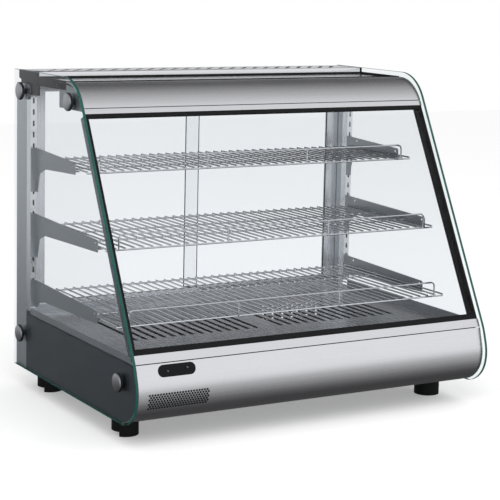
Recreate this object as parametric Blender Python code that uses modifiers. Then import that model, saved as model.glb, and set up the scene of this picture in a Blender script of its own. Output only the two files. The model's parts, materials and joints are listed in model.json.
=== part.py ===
"""Countertop hot food display case.

A slanted front glass between a curved stainless header and a curved stainless base, frameless side
glasses on round caps, wire shelves on hook-in brackets, and two sliding doors at the back.
Metres, +Z up, front towards -Y, origin on the counter under the middle of the case.
"""

import math

import bmesh
import bpy
from mathutils import Matrix, Vector

# ---- driving dimensions, in metres ----
GAP = 0.0003
SHEET = 0.0015

HALF_INSIDE = 0.4220        # inner face of a side glass
GLASS = 0.0060
REAR = 0.3160
TOP = 0.7135
BOTTOM = 0.0460             # underside of the base
SKIN = HALF_INSIDE - GAP    # half width of the metal skins

SLANT_TOP = Vector((0.0, -0.0423, 0.6535))
SLANT_BOTTOM = Vector((0.0, -0.2943, 0.1746))
TRIM_TOP = 0.0115
SEAL_TOP = 0.0085
SEAL_BOTTOM = 0.0120
TRIM_BOTTOM = 0.0190
SEAL_SIDE = 0.0060
SEAL_HALF = 0.4195
SEAL_DEPTH = 0.0065
JAMB_DEPTH = 0.0250                     # the seal's side profiles are deeper than its rails
JAMB_INSET = 0.0002
PANE = 0.0050

HEADER_R = 0.0910
HEADER_CENTRE = (0.0382, 0.6111)
HEADER_BACK = 0.0425
NOSE_R = 0.0950             # the side glass's round top corner
NOSE_CENTRE = (0.0385, 0.6185)
GLASS_PROUD = 0.0070

FASCIA = [(-0.2945, 0.1735), (-0.2995, 0.1560), (-0.3035, 0.1420), (-0.3067, 0.1280), (-0.3073, 0.1150),
          (-0.3055, 0.1010), (-0.3010, 0.0880), (-0.2930, 0.0755), (-0.2815, 0.0640), (-0.2665, 0.0545),
          (-0.2510, 0.0485), (-0.2380, 0.0460)]
GLASS_FOOT = [(-0.3045, 0.1680), (-0.3090, 0.1540), (-0.3135, 0.1390), (-0.3160, 0.1240), (-0.3158, 0.1090),
              (-0.3120, 0.0920), (-0.3040, 0.0765), (-0.2915, 0.0630), (-0.2755, 0.0525), (-0.2580, 0.0465),
              (-0.2400, 0.0445)]
SIDE_PANEL_TOP = 0.1702
SIDE_PANEL_X = 0.4195

DECK = 0.1740
DECK_FRONT = -0.2850
LIP_TOP = 0.1870
LIP_X = 0.4197
SLOTS_A_SIDE = 14
SLOT_PITCH = 0.0223
SLOT_FIRST = 0.0310
SLOT_LENGTH = 0.2050
SLOT_WIDTH = 0.0095
SLOT_MIDDLE = 0.0045

WINDOW_AT = (-0.3310, 0.1587)
WINDOW_REACH = (-0.3300, -0.2700)      # from in front of the fascia to behind it
WINDOW_HALF = 0.0420
WINDOW_R = 0.0119

POST_IN = 0.4070
POST_OUT = 0.4215
POST_WALL = 0.0020
POST_FRONT = 0.2570
POST_TOP = 0.6837
UPRIGHT_FRONT = 0.2350
UPRIGHT_SLOTS = 18
UPRIGHT_PITCH = 0.0250
UPRIGHT_FIRST = 0.2175
UPRIGHT_SLOT = (0.0040, 0.0120)

BEAM_FRONT = 0.2010
BEAM_REAR = 0.3020
BEAM_TOP = 0.7130
BEAM_UNDER = 0.6868
BEAM_HALF = 0.4160
BEAM_SLOTS = 25
BEAM_PITCH = 0.0304
BEAM_SLOT_LENGTH = 0.0640
BEAM_SLOT_WIDTH = 0.0085
BEAM_SLOT_MIDDLE = 0.2515
BEAM_SLOT_TURN = math.radians(-38)

FRAME_FRONT = 0.0430
FRAME_TOP = 0.7006
FRAME_UNDER = 0.6966
FRAME_SIDE = 0.0064
FRAME_EDGE = 0.0050
LEG_UNDER = 0.6840
LEG_FRONT = 0.0793
PANEL_TOP = 0.6990

LAMP_FRONT = 0.0
LAMP_REAR = 0.0300
LAMP_UNDER = 0.6520
LAMP_TOP = 0.6615

SHELF_HALF = 0.4045         # centre line of the outermost wires
SHELF_REAR = 0.2260
LONG_WIRES = 40
WIRE = 0.0036
WELD = 0.0004               # how far crossing wires are sunk into each other
WIRE_INSET = 0.0008         # the long wires end this far inside the shelf's edges
RAIL_HALF = 0.3790
RAIL_BEND = 0.0080
RAIL_POSTS = (-0.1250, 0.1250)
RAIL_RISE = 0.0290
SHELVES = {                 # name: front edge Y, wire top Z, bracket tip Y, height of the hook plate
    "top": (-0.0310, 0.5235, 0.0210, 0.0970),
    "middle": (-0.1270, 0.3775, -0.0930, 0.0970),
    "bottom": (-0.1770, 0.2295, -0.0930, 0.0610),
}
ARM_X = 0.4085
ARM_SHEET = 0.0016
ARM_RISE = 0.0125           # the arm's top edge over the wires
ARM_LIP = 0.0115

DOOR_EDGE = 0.4062
DOOR_LAP = 0.0130
DOOR_FRAME = 0.0100
DOOR_RAIL = 0.0160
DOOR_STILE = 0.0300
DOOR_BOTTOM = 0.1785
DOOR_TOP = 0.6820
DOOR_PLANES = {"left": 0.2615, "right": 0.2775}
GRIP = (0.0040, 0.0110, 0.3000, 0.5400)
TRACK_HALF = 0.4064
TRACK_WALLS = ((0.2575, 0.2600), (0.2730, 0.2760), (0.2890, 0.2915))
TRACK_FLOOR = (0.1743, 0.1765, 0.1860)
TRACK_ROOF = (0.6865, 0.6845, 0.6700)

BACK = 0.2945
BACK_TOP = 0.1875
CONTROL_PLATE = (-0.2500, -0.0650, 0.0820, 0.1530)
CONTROL_Z = 0.1175
SWITCHES = {"power_switch": -0.2130, "light_switch": -0.1680}
SWITCH_HALF = 0.0120
SWITCH_HEIGHT = (0.1020, 0.1330)
ROCKER_PIVOT_Y = 0.3005
ROCKER_TILT = math.radians(8)
KNOB_X = -0.1050
KNOB_R = 0.0170
GLAND_AT = (0.3300, 0.0670)

CAP_R = 0.0190
CAP_OUT = 0.4360
CAP_STUD = 0.0045
CAP_EDGE = 0.0018
CAP_HOLE = 0.0060
CAPS = {"rear_top": (0.2720, 0.6670), "front_top": (0.0105, 0.6640),
        "rear_bottom": (0.2720, 0.1240), "front_bottom": (-0.2400, 0.1300)}

FOOT_R = 0.0280
FOOT_X = 0.3780
FEET = {"front": -0.1650, "rear": 0.2230}
FOOT_STEP = 0.0100
FOOT_STEP_FROM = 0.0120
FOOT_STEP_TURN = math.radians(25)

REAR_VENTS = 12
REAR_VENT_FIRST = 0.2150
REAR_VENT_PITCH = 0.0140
REAR_VENT_Z = 0.1100
REAR_VENT_LENGTH = 0.0550
REAR_VENT_WIDTH = 0.0060
SHAFT_HOLE = 0.0055
GLAND_HOLE = 0.0100

ELEMENT = 0.0070
ELEMENT_TOP = 0.1550
ELEMENT_REACH = 0.3200
ELEMENT_ROWS = (-0.0800, -0.0400, 0.0, 0.0400, 0.0800)

SIDES = {"left": -1, "right": 1}
SMOOTH_UNDER = math.radians(35)

LOOKS = {                   # base colour, metallic, roughness
    "brushed": ((0.62, 0.63, 0.65), 1.0, 0.28),
    "satin": ((0.42, 0.44, 0.46), 1.0, 0.40),
    "grey_paint": ((0.17, 0.18, 0.20), 0.6, 0.45),
    "aluminium": ((0.70, 0.71, 0.72), 1.0, 0.35),
    "chrome": ((0.80, 0.81, 0.82), 1.0, 0.12),
    "black": ((0.012, 0.012, 0.013), 0.0, 0.5),
    "rubber": ((0.015, 0.015, 0.016), 0.0, 0.7),
    "glass": ((0.86, 0.93, 0.91), 0.0, 0.03),
    "smoked": ((0.01, 0.011, 0.013), 0.0, 0.08),
    "element": ((0.30, 0.27, 0.24), 1.0, 0.45),
    "diffuser": ((0.93, 0.93, 0.90), 0.0, 0.4),
}
SEE_THROUGH = ("glass", "smoked")

# how an outline's own u, v and thickness lie in the case
PLANES = {
    "xy": Matrix(((1, 0, 0, 0), (0, 1, 0, 0), (0, 0, 1, 0), (0, 0, 0, 1))),
    "xz": Matrix(((1, 0, 0, 0), (0, 0, 1, 0), (0, 1, 0, 0), (0, 0, 0, 1))),
    "yz": Matrix(((0, 0, 1, 0), (1, 0, 0, 0), (0, 1, 0, 0), (0, 0, 0, 1))),
}


# ---- helpers ----
def clear_scene():
    for old in list(bpy.data.objects):
        bpy.data.objects.remove(old, do_unlink=True)
    for old in list(bpy.data.collections):
        bpy.data.collections.remove(old)


def new_collection(name):
    made = bpy.data.collections.new(name)
    bpy.context.scene.collection.children.link(made)
    return made


def give_material(obj, look):
    colour, metallic, roughness = LOOKS[look]
    material = bpy.data.materials.new(obj.name)
    material.use_nodes = True
    shader = material.node_tree.nodes["Principled BSDF"]
    shader.inputs["Base Color"].default_value = (*colour, 1)
    shader.inputs["Metallic"].default_value = metallic
    shader.inputs["Roughness"].default_value = roughness
    if look in SEE_THROUGH:
        shader.inputs["Transmission Weight"].default_value = 0.9
    obj.data.materials.append(material)


def add_object(name, mesh, look):
    """A part, or a cutter where no look is given."""
    mesh.shade_smooth()
    mesh.set_sharp_from_angle(angle=SMOOTH_UNDER)
    obj = bpy.data.objects.new(name, mesh)
    if look is None:
        cutters.objects.link(obj)
        obj.hide_render = True
        obj.display_type = "WIRE"
        return obj
    part.objects.link(obj)
    give_material(obj, look)
    return obj


def mesh_from(name, bm):
    bmesh.ops.recalc_face_normals(bm, faces=bm.faces)
    mesh = bpy.data.meshes.new(name)
    bm.to_mesh(mesh)
    bm.free()
    return mesh


def bars(name, look, spans):
    """Boxes given by their (low, high) along X, Y and Z."""
    bm = bmesh.new()
    for span in spans:
        low = Vector([min(pair) for pair in span])
        high = Vector([max(pair) for pair in span])
        place = Matrix.Translation((low + high) / 2) @ Matrix.Diagonal((*(high - low), 1))
        bmesh.ops.create_cube(bm, size=1, matrix=place)
    return add_object(name, mesh_from(name, bm), look)


def mesh_of_curve(curve, place):
    """The curve's solid as a mesh, with its caps welded, moved by a matrix."""
    guide = bpy.data.objects.new(curve.name + "_guide", curve)
    bpy.context.scene.collection.objects.link(guide)
    bpy.context.view_layer.update()
    solid = bpy.data.meshes.new_from_object(guide.evaluated_get(bpy.context.evaluated_depsgraph_get()))
    bpy.data.objects.remove(guide)
    solid.transform(place)
    bm = bmesh.new()
    bm.from_mesh(solid)
    bmesh.ops.remove_doubles(bm, verts=bm.verts, dist=0.00002)
    bpy.data.meshes.remove(solid)
    return mesh_from(curve.name, bm)


def add_spline(curve, points, closed):
    spline = curve.splines.new("POLY")
    spline.points.add(len(points) - 1)
    for point, place in zip(spline.points, points):
        point.co = (*place, 1)
    spline.use_cyclic_u = closed
    return spline


def outline(name, look, loops, low, high, plane):
    """Flat closed loops, where a loop inside another is its hole, thickened from low to high."""
    curve = bpy.data.curves.new(name, "CURVE")
    curve.dimensions = "2D"
    curve.fill_mode = "BOTH"
    curve.extrude = abs(high - low) / 2
    for loop in loops:
        add_spline(curve, [(u, v, 0) for u, v in loop], closed=True)
    place = PLANES[plane] @ Matrix.Translation((0, 0, (low + high) / 2))
    return add_object(name, mesh_of_curve(curve, place), look)


def wires(name, look, routes, width):
    """Square wires along routes that don't meet. Half a corner's turn lays their flats level."""
    curve = bpy.data.curves.new(name, "CURVE")
    curve.dimensions = "3D"
    curve.bevel_depth = width / math.sqrt(2)
    curve.bevel_resolution = 0
    curve.use_fill_caps = True
    for route in routes:
        for point in add_spline(curve, route, closed=False).points:
            point.tilt = math.radians(45)
    return add_object(name, mesh_of_curve(curve, Matrix.Identity(4)), look)


def rod(name, look, route, radius):
    curve = bpy.data.curves.new(name, "CURVE")
    curve.dimensions = "3D"
    curve.bevel_depth = radius
    curve.bevel_resolution = 2
    curve.use_fill_caps = True
    add_spline(curve, route, closed=False)
    return add_object(name, mesh_of_curve(curve, Matrix.Identity(4)), look)


def bent_sheet(name, look, profile, half, thickness):
    """An open Y-Z profile swept across the case, thickened to the inside of the bend."""
    bm = bmesh.new()
    verts = [bm.verts.new((-half, y, z)) for y, z in profile]
    edges = [bm.edges.new(pair) for pair in zip(verts, verts[1:])]
    swept = bmesh.ops.extrude_edge_only(bm, edges=edges)["geom"]
    bmesh.ops.translate(bm, vec=(2 * half, 0, 0), verts=[v for v in swept if isinstance(v, bmesh.types.BMVert)])
    mesh = bpy.data.meshes.new(name)
    bm.to_mesh(mesh)
    bm.free()
    obj = add_object(name, mesh, look)
    solidify = obj.modifiers.new("sheet", "SOLIDIFY")
    solidify.thickness = thickness
    solidify.offset = 1
    solidify.use_even_offset = True
    return obj


def rounds(name, look, items):
    """Cylinders given by centre, axis, radius, length and number of sides."""
    bm = bmesh.new()
    for centre, axis, radius, length, sides in items:
        turn = Vector((0, 0, 1)).rotation_difference(Vector(axis)).to_matrix().to_4x4()
        place = Matrix.Translation(Vector(centre) + Vector(axis) * length / 2) @ turn
        bmesh.ops.create_cone(bm, cap_ends=True, segments=sides, radius1=radius, radius2=radius,
                              depth=length, matrix=place)
    return add_object(name, mesh_from(name, bm), look)


def turned(name, look, profile, sides):
    """A profile of (radius, height), from the top down its outer side, turned about Z."""
    bm = bmesh.new()
    verts = [bm.verts.new((r, 0, z)) for r, z in profile]
    for pair in zip(verts, verts[1:]):
        bm.edges.new(pair)
    mesh = bpy.data.meshes.new(name)
    bm.to_mesh(mesh)
    bm.free()
    obj = add_object(name, mesh, look)
    screw = obj.modifiers.new("turn", "SCREW")
    screw.steps = sides
    screw.render_steps = sides
    screw.use_merge_vertices = True
    screw.merge_threshold = 0.00001
    return obj


def combine(obj, other, operation):
    boolean = obj.modifiers.new(other.name, "BOOLEAN")
    boolean.operation = operation
    boolean.solver = "EXACT"
    boolean.object = other


def cut(obj, cutter):
    combine(obj, cutter, "DIFFERENCE")


def join(obj, other):
    combine(obj, other, "UNION")


def on_joint(name, place, *pieces):
    """Hangs pieces that move together, already in place, on an empty at their joint."""
    empty = bpy.data.objects.new(name, None)
    part.objects.link(empty)
    empty.location = place
    for piece in pieces:
        piece.parent = empty
        piece.matrix_parent_inverse = Matrix.Translation(-Vector(place))


def arc(centre, radius, start, end, steps):
    turns = [math.radians(start + (end - start) * i / steps) for i in range(steps + 1)]
    return [(centre[0] + radius * math.cos(a), centre[1] + radius * math.sin(a)) for a in turns]


def round_slot(middle, half, radius, upright=True, steps=3):
    """A round-ended slot, long along v where it is upright and along u where it is not."""
    u, v = middle
    reach = half - radius
    if upright:
        return arc((u, v + reach), radius, 0, 180, steps) + arc((u, v - reach), radius, 180, 360, steps)
    return arc((u + reach, v), radius, -90, 90, steps) + arc((u - reach, v), radius, 90, 270, steps)


def rectangle(u0, u1, v0, v1):
    return [(u0, v0), (u1, v0), (u1, v1), (u0, v1)]


def inset(path, distance):
    """An open path moved to the left of its direction."""
    moved = []
    for i, point in enumerate(path):
        here = Vector(point)
        normals = []
        for a, b in zip(path[max(i - 1, 0):i + 1], path[max(i - 1, 0) + 1:i + 2]):
            along = (Vector(b) - Vector(a)).normalized()
            normals.append(Vector((-along.y, along.x)))
        mean = sum(normals, Vector((0, 0))).normalized()
        moved.append(tuple(here + mean * distance / mean.dot(normals[0])))
    return moved


def both(side, near, far):
    """The X span of a piece on one side, from its distances to the middle."""
    return (side * near, side * far)


# ---- the slanted front plane ----
DOWN = (SLANT_BOTTOM - SLANT_TOP).normalized()
SLANT_LENGTH = (SLANT_BOTTOM - SLANT_TOP).length
LEAN = math.atan2(-DOWN.z, -DOWN.y)
OUTWARD = Vector((0, DOWN.z, -DOWN.y))
ARC_END = math.degrees(math.atan2(OUTWARD.z, OUTWARD.y))
SEAL_START = TRIM_TOP + GAP
SEAL_END = SLANT_LENGTH - TRIM_BOTTOM - GAP


def lay_on_slant(obj):
    """Local Y runs up the slope from the header seam, and local Z stands out of it."""
    obj.location = SLANT_TOP
    obj.rotation_euler.x = LEAN


def make_front():
    skin = (-SKIN, SKIN)
    lay_on_slant(bars("header_trim", "brushed", [(skin, (-GAP, -TRIM_TOP), (-0.0020, 0.0))]))
    lay_on_slant(bars("base_trim", "brushed", [(skin, (-SEAL_END - GAP, 0.0008 - SLANT_LENGTH), (-0.0020, 0.0))]))
    clear = SEAL_HALF - SEAL_SIDE
    glass_top = -SEAL_START - SEAL_TOP
    glass_bottom = -SEAL_END + SEAL_BOTTOM
    rings = [rectangle(-SEAL_HALF, SEAL_HALF, -SEAL_END, -SEAL_START),
             rectangle(-clear, clear, glass_bottom, glass_top)]
    seal = outline("front_seal", "rubber", rings, -SEAL_DEPTH, 0.0004, "xy")
    along = (JAMB_INSET - SEAL_END, -JAMB_INSET - SEAL_START)
    jambs = bars("front_seal_jambs", None, [
        (both(side, clear + JAMB_INSET, SEAL_HALF - JAMB_INSET), along, (-JAMB_DEPTH, -SEAL_DEPTH / 2))
        for side in SIDES.values()])
    lay_on_slant(seal)
    lay_on_slant(jambs)
    join(seal, jambs)
    pane = ((GAP - clear, clear - GAP), (glass_bottom + GAP, glass_top - GAP), (-0.0005 - PANE, -0.0005))
    lay_on_slant(bars("front_glass", "glass", [pane]))


# ---- base ----
def make_base():
    window = round_slot(WINDOW_AT, WINDOW_HALF, WINDOW_R, upright=False, steps=8)
    fascia = bent_sheet("base_fascia", "brushed", FASCIA, SKIN, SHEET)
    cut(fascia, outline("window_hole", None, [window], *WINDOW_REACH, "xz"))
    window = round_slot(WINDOW_AT, WINDOW_HALF - GAP, WINDOW_R - GAP, upright=False, steps=8)
    lens = outline("indicator_window", "smoked", [window], *WINDOW_REACH, "xz")
    shell = bent_sheet("window_shell", None, inset(FASCIA[:5], -0.0004), SKIN, 0.0040)
    combine(lens, shell, "INTERSECT")

    front = FASCIA[-1][0] + GAP
    pan = rectangle(-0.4190, 0.4190, front, POST_FRONT - GAP)
    pan[2:3] = [(0.4190, POST_FRONT - GAP), (TRACK_HALF, POST_FRONT - GAP), (TRACK_HALF, BACK - GAP)]
    pan[5:6] = [(-TRACK_HALF, BACK - GAP), (-TRACK_HALF, POST_FRONT - GAP), (-0.4190, POST_FRONT - GAP)]
    outline("base_pan", "satin", [pan], BOTTOM, BOTTOM + SHEET, "xy")

    curve = [p for p in inset(FASCIA, SHEET + GAP) if BOTTOM + 0.001 < p[1] < SIDE_PANEL_TOP]
    panel = [(curve[0][0] + 0.0044, SIDE_PANEL_TOP), *curve, (FASCIA[-1][0] + 0.0040, BOTTOM),
             (POST_FRONT - GAP, BOTTOM), (POST_FRONT - GAP, SIDE_PANEL_TOP)]
    for tag, side in SIDES.items():
        outline(f"base_side_{tag}", "grey_paint", [panel], side * SIDE_PANEL_X, side * (POST_OUT - 0.0001), "yz")


def make_deck():
    edge = LIP_X + SHEET
    rear = TRACK_WALLS[0][0] - GAP
    step = UPRIGHT_FRONT - GAP
    inside = POST_IN - GAP
    border = [(-edge, DECK_FRONT), (edge, DECK_FRONT), (edge, step), (inside, step), (inside, rear),
              (-inside, rear), (-inside, step), (-edge, step)]
    slots = [round_slot((side * (SLOT_FIRST + i * SLOT_PITCH), SLOT_MIDDLE), SLOT_LENGTH / 2, SLOT_WIDTH / 2)
             for side in (-1, 1) for i in range(SLOTS_A_SIDE)]
    deck = outline("deck", "brushed", [border], DECK - SHEET, DECK, "xy")
    cut(deck, outline("deck_slots", None, slots, DECK - 0.0100, DECK + 0.0100, "xy"))
    lips = [(both(side, LIP_X, edge), (DECK_FRONT + 0.0070, step), (DECK - 0.0010, LIP_TOP)) for side in (-1, 1)]
    join(deck, bars("deck_lips", None, lips))


def make_feet():
    for where, y in FEET.items():
        for tag, side in SIDES.items():
            x = side * FOOT_X
            foot = rounds(f"foot_{where}_{tag}", "rubber", [((x, y, 0), (0, 0, 1), FOOT_R, BOTTOM - GAP, 28)])
            step = bars(f"foot_{where}_{tag}_step", None,
                        [(both(side, FOOT_STEP_FROM, 0.06), (-0.06, 0.06), (-0.01, FOOT_STEP))])
            step.location = (x, y, 0)
            step.rotation_euler.z = side * FOOT_STEP_TURN
            cut(foot, step)


def make_element():
    """One rod, up through the floor of the base, to and fro under the deck, and down again."""
    level = ELEMENT_TOP - ELEMENT / 2
    foot = BOTTOM + SHEET + GAP
    route = [(-ELEMENT_REACH, ELEMENT_ROWS[0], foot), (-ELEMENT_REACH, ELEMENT_ROWS[0], level)]
    for i, (near, far) in enumerate(zip(ELEMENT_ROWS, ELEMENT_ROWS[1:])):
        side = 1 if i % 2 == 0 else -1
        bend = arc((0, (near + far) / 2), (far - near) / 2, -90, 90, 6)
        route += [(side * (ELEMENT_REACH + u), v, level) for u, v in bend]
    route += [(ELEMENT_REACH, ELEMENT_ROWS[-1], level), (ELEMENT_REACH, ELEMENT_ROWS[-1], foot)]
    rod("heating_element", "element", route, ELEMENT / 2)


# ---- header and top ----
def make_header():
    profile = [(HEADER_BACK, HEADER_CENTRE[1] + HEADER_R), *arc(HEADER_CENTRE, HEADER_R, 90, ARC_END, 12)]
    bent_sheet("header_shell", "brushed", profile, SKIN, SHEET)
    inner = arc(HEADER_CENTRE, HEADER_R - SHEET - GAP, 90, ARC_END - 1, 8)
    ceiling, floor = 0.6963, 0.6470
    curve = [p for p in inner[1:] if floor < p[1] < ceiling]
    plate = [(LEG_FRONT - GAP, ceiling), (HEADER_CENTRE[0], ceiling), *curve, (-0.0390, floor),
             (LEG_FRONT - GAP, floor)]
    for tag, side in SIDES.items():
        outline(f"header_end_{tag}", "satin", [plate], side * BEAM_HALF, side * (POST_OUT - 0.0001), "yz")

    channel = [(LAMP_FRONT, LAMP_UNDER), (LAMP_FRONT, LAMP_TOP), (LAMP_REAR, LAMP_TOP), (LAMP_REAR, LAMP_UNDER),
               (LAMP_REAR - SHEET, LAMP_UNDER), (LAMP_REAR - SHEET, LAMP_TOP - SHEET),
               (LAMP_FRONT + SHEET, LAMP_TOP - SHEET), (LAMP_FRONT + SHEET, LAMP_UNDER)]
    outline("lamp_housing", "satin", [channel], GAP - BEAM_HALF, BEAM_HALF - GAP, "yz")
    bars("lamp_diffuser", "diffuser", [((-0.4100, 0.4100), (LAMP_FRONT + SHEET + GAP, LAMP_REAR - SHEET - GAP),
                                        (LAMP_UNDER - 0.0020, LAMP_TOP - SHEET - GAP))])


def make_top():
    edge = POST_OUT - 0.0001
    rear = BEAM_FRONT - GAP
    opening = edge - FRAME_SIDE
    rings = [rectangle(-edge, edge, FRAME_FRONT, rear),
             rectangle(-opening, opening, FRAME_FRONT + FRAME_EDGE, rear - FRAME_EDGE)]
    frame = outline("top_frame", "black", rings, FRAME_UNDER, FRAME_TOP, "xy")
    legs = [(both(side, BEAM_HALF + 0.0004, edge), (LEG_FRONT, rear), (LEG_UNDER, FRAME_UNDER + 0.0010))
            for side in (-1, 1)]
    join(frame, bars("top_frame_legs", None, legs))
    bars("top_panel", "brushed", [((GAP - opening, opening - GAP),
                                   (FRAME_FRONT + FRAME_EDGE + GAP, rear - FRAME_EDGE - GAP),
                                   (PANEL_TOP - SHEET, PANEL_TOP))])

    inside = BEAM_TOP - SHEET
    channel = [(BEAM_FRONT, BEAM_UNDER), (BEAM_FRONT, BEAM_TOP), (BEAM_REAR, BEAM_TOP), (BEAM_REAR, BEAM_UNDER),
               (BEAM_REAR - SHEET, BEAM_UNDER), (BEAM_REAR - SHEET, inside), (BEAM_FRONT + SHEET, inside),
               (BEAM_FRONT + SHEET, BEAM_UNDER)]
    beam = outline("top_beam", "brushed", [channel], -BEAM_HALF, BEAM_HALF, "yz")
    slot = round_slot((0, 0), BEAM_SLOT_LENGTH / 2, BEAM_SLOT_WIDTH / 2)
    slanted = [Matrix.Rotation(BEAM_SLOT_TURN, 2) @ Vector(point) for point in slot]
    slots = []
    for i in range(BEAM_SLOTS):
        middle = Vector(((i - (BEAM_SLOTS - 1) / 2) * BEAM_PITCH, BEAM_SLOT_MIDDLE))
        slots.append([tuple(middle + point) for point in slanted])
    cut(beam, outline("beam_slots", None, slots, BEAM_TOP - 0.0100, BEAM_TOP + 0.0100, "xy"))

    heel = UPRIGHT_FRONT - 0.0020
    cap = [(0.1950, 0.6620), (heel, 0.6620), (heel, LEG_UNDER), (0.2900, LEG_UNDER), (0.2900, 0.6920),
           (BEAM_REAR, 0.6950), (BEAM_REAR, BEAM_TOP), (BEAM_FRONT, BEAM_TOP), (BEAM_FRONT, LEG_UNDER - GAP),
           (0.1950, LEG_UNDER - GAP)]
    for tag, side in SIDES.items():
        outline(f"beam_cap_{tag}", "black", [cap], side * (BEAM_HALF + GAP), side * edge, "yz")


# ---- back ----
def make_posts():
    for tag, side in SIDES.items():
        near, far = sorted(both(side, POST_IN, POST_OUT))
        tube = [rectangle(near, far, POST_FRONT, REAR - SHEET),
                rectangle(near + POST_WALL, far - POST_WALL, POST_FRONT + POST_WALL, REAR - SHEET - POST_WALL)]
        outline(f"post_{tag}", "aluminium", tube, BOTTOM, POST_TOP, "xy")
        rear = POST_FRONT - GAP
        tube = [rectangle(near, far, UPRIGHT_FRONT, rear),
                rectangle(near + POST_WALL, far - POST_WALL, UPRIGHT_FRONT + POST_WALL, rear - POST_WALL)]
        upright = outline(f"upright_{tag}", "aluminium", tube, LIP_TOP + GAP, POST_TOP, "xy")
        middle = (near + far) / 2
        width, height = UPRIGHT_SLOT
        spans = []
        for i in range(UPRIGHT_SLOTS):
            z = UPRIGHT_FIRST + i * UPRIGHT_PITCH
            spans.append(((middle - width / 2, middle + width / 2),
                          (UPRIGHT_FRONT - 0.005, UPRIGHT_FRONT + 0.005), (z, z + height)))
        cut(upright, bars(f"upright_{tag}_slots", None, spans))


def make_tracks():
    def comb(base, web, tip):
        """A track's section: a flat web with three walls."""
        teeth = []
        for start, end in TRACK_WALLS:
            teeth += [(start, web), (start, tip), (end, tip), (end, web)]
        return [(TRACK_WALLS[0][0], base), *teeth[1:-1], (TRACK_WALLS[-1][1], base)]

    outline("door_track_bottom", "aluminium", [comb(*TRACK_FLOOR)], -TRACK_HALF, TRACK_HALF, "yz")
    outline("door_track_top", "aluminium", [comb(*TRACK_ROOF)], -TRACK_HALF, TRACK_HALF, "yz")


def make_doors():
    for tag, side in SIDES.items():
        y = DOOR_PLANES[tag]
        near, far = DOOR_EDGE, -DOOR_LAP
        shape = [(side * u, v) for u, v in (
            (near, DOOR_BOTTOM), (far, DOOR_BOTTOM), (far, DOOR_BOTTOM + DOOR_RAIL),
            (near - DOOR_STILE, DOOR_BOTTOM + DOOR_RAIL), (near - DOOR_STILE, DOOR_TOP - DOOR_RAIL),
            (far, DOOR_TOP - DOOR_RAIL), (far, DOOR_TOP), (near, DOOR_TOP))]
        frame = outline(f"door_frame_{tag}", "aluminium", [shape], y, y + DOOR_FRAME, "xz")
        from_edge, to_edge, low, high = GRIP
        groove = (both(side, DOOR_EDGE - to_edge, DOOR_EDGE - from_edge),
                  (y + DOOR_FRAME / 2, y + DOOR_FRAME + 0.001), (low, high))
        cut(frame, bars(f"door_grip_{tag}", None, [groove]))
        glass = bars(f"door_glass_{tag}", "glass", [(
            both(side, DOOR_EDGE - DOOR_STILE - GAP, -DOOR_LAP),
            (y + (DOOR_FRAME - PANE) / 2, y + (DOOR_FRAME + PANE) / 2),
            (DOOR_BOTTOM + DOOR_RAIL + GAP, DOOR_TOP - DOOR_RAIL - GAP))])
        on_joint(f"door_{tag}_slide", (side * DOOR_EDGE / 2, y + DOOR_FRAME / 2, DOOR_BOTTOM), frame, glass)


def control_holes():
    """The rockers' openings and the knob's shaft hole."""
    holes = [rectangle(x - SWITCH_HALF, x + SWITCH_HALF, *SWITCH_HEIGHT) for x in SWITCHES.values()]
    return [*holes, arc((KNOB_X, CONTROL_Z), SHAFT_HOLE, 0, 330, 11)]


def make_rear_panel():
    holes = [round_slot((REAR_VENT_FIRST + i * REAR_VENT_PITCH, REAR_VENT_Z), REAR_VENT_LENGTH / 2,
                        REAR_VENT_WIDTH / 2) for i in range(REAR_VENTS)]
    holes += [*control_holes(), arc(GLAND_AT, GLAND_HOLE, 0, 337.5, 15)]
    border = rectangle(-TRACK_HALF, TRACK_HALF, BOTTOM, BACK_TOP)
    panel = outline("rear_panel", "brushed", [border], BACK, BACK + SHEET, "xz")
    across = (-TRACK_HALF, TRACK_HALF)
    top_fold = (across, (BACK - 0.0027, BACK + 0.0010), (BACK_TOP - 0.0012, BACK_TOP))
    shelf_fold = (across, (POST_FRONT, BACK + 0.0010), (0.1700, 0.1715))
    join(panel, bars("rear_panel_folds", None, [top_fold, shelf_fold]))
    cut(panel, outline("rear_panel_holes", None, holes, BACK - 0.0015, BACK + 0.0100, "xz"))

    plate = BACK + SHEET + GAP
    cover = outline("control_plate", "black", [rectangle(*CONTROL_PLATE)], plate, plate + 0.0020, "xz")
    cut(cover, outline("control_plate_holes", None, control_holes(), plate - 0.0100, plate + 0.0100, "xz"))


def make_controls():
    rocker = [(-0.0030, -0.0140), (-0.0140, 0.0), (-0.0030, 0.0140), (0.0012, 0.0140), (-0.0010, 0.0), (0.0012, -0.0140)]
    for name, x in SWITCHES.items():
        switch = outline(name, "black", [rocker], 0.0005 - SWITCH_HALF, SWITCH_HALF - 0.0005, "yz")
        switch.location = (x, ROCKER_PIVOT_Y, CONTROL_Z)
        switch.rotation_euler.x = ROCKER_TILT

    face = BACK + SHEET + 0.0026
    knob = turned("thermostat_knob", "black", [(0, 0.0130), (KNOB_R - 0.0020, 0.0130), (KNOB_R, 0.0), (0.0045, 0.0),
                                              (0.0045, -0.0140), (0, -0.0140)], 28)
    knob.location = (KNOB_X, face, CONTROL_Z)
    knob.rotation_euler.x = math.radians(-90)
    join(knob, bars("knob_pointer", None, [((KNOB_X - 0.0020, KNOB_X + 0.0020), (face + 0.0060, face + 0.0150),
                                           (CONTROL_Z + 0.0005, CONTROL_Z + KNOB_R - 0.0025))]))
    gland = turned("cord_gland", "black", [(0, 0.0170), (0.0092, 0.0170), (0.0092, 0.0050), (0.0135, 0.0050),
                                           (0.0135, 0.0), (0.0092, 0.0), (0.0092, -0.0080), (0, -0.0080)], 20)
    gland.location = (GLAND_AT[0], BACK + SHEET + GAP, GLAND_AT[1])
    gland.rotation_euler.x = math.radians(-90)


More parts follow.
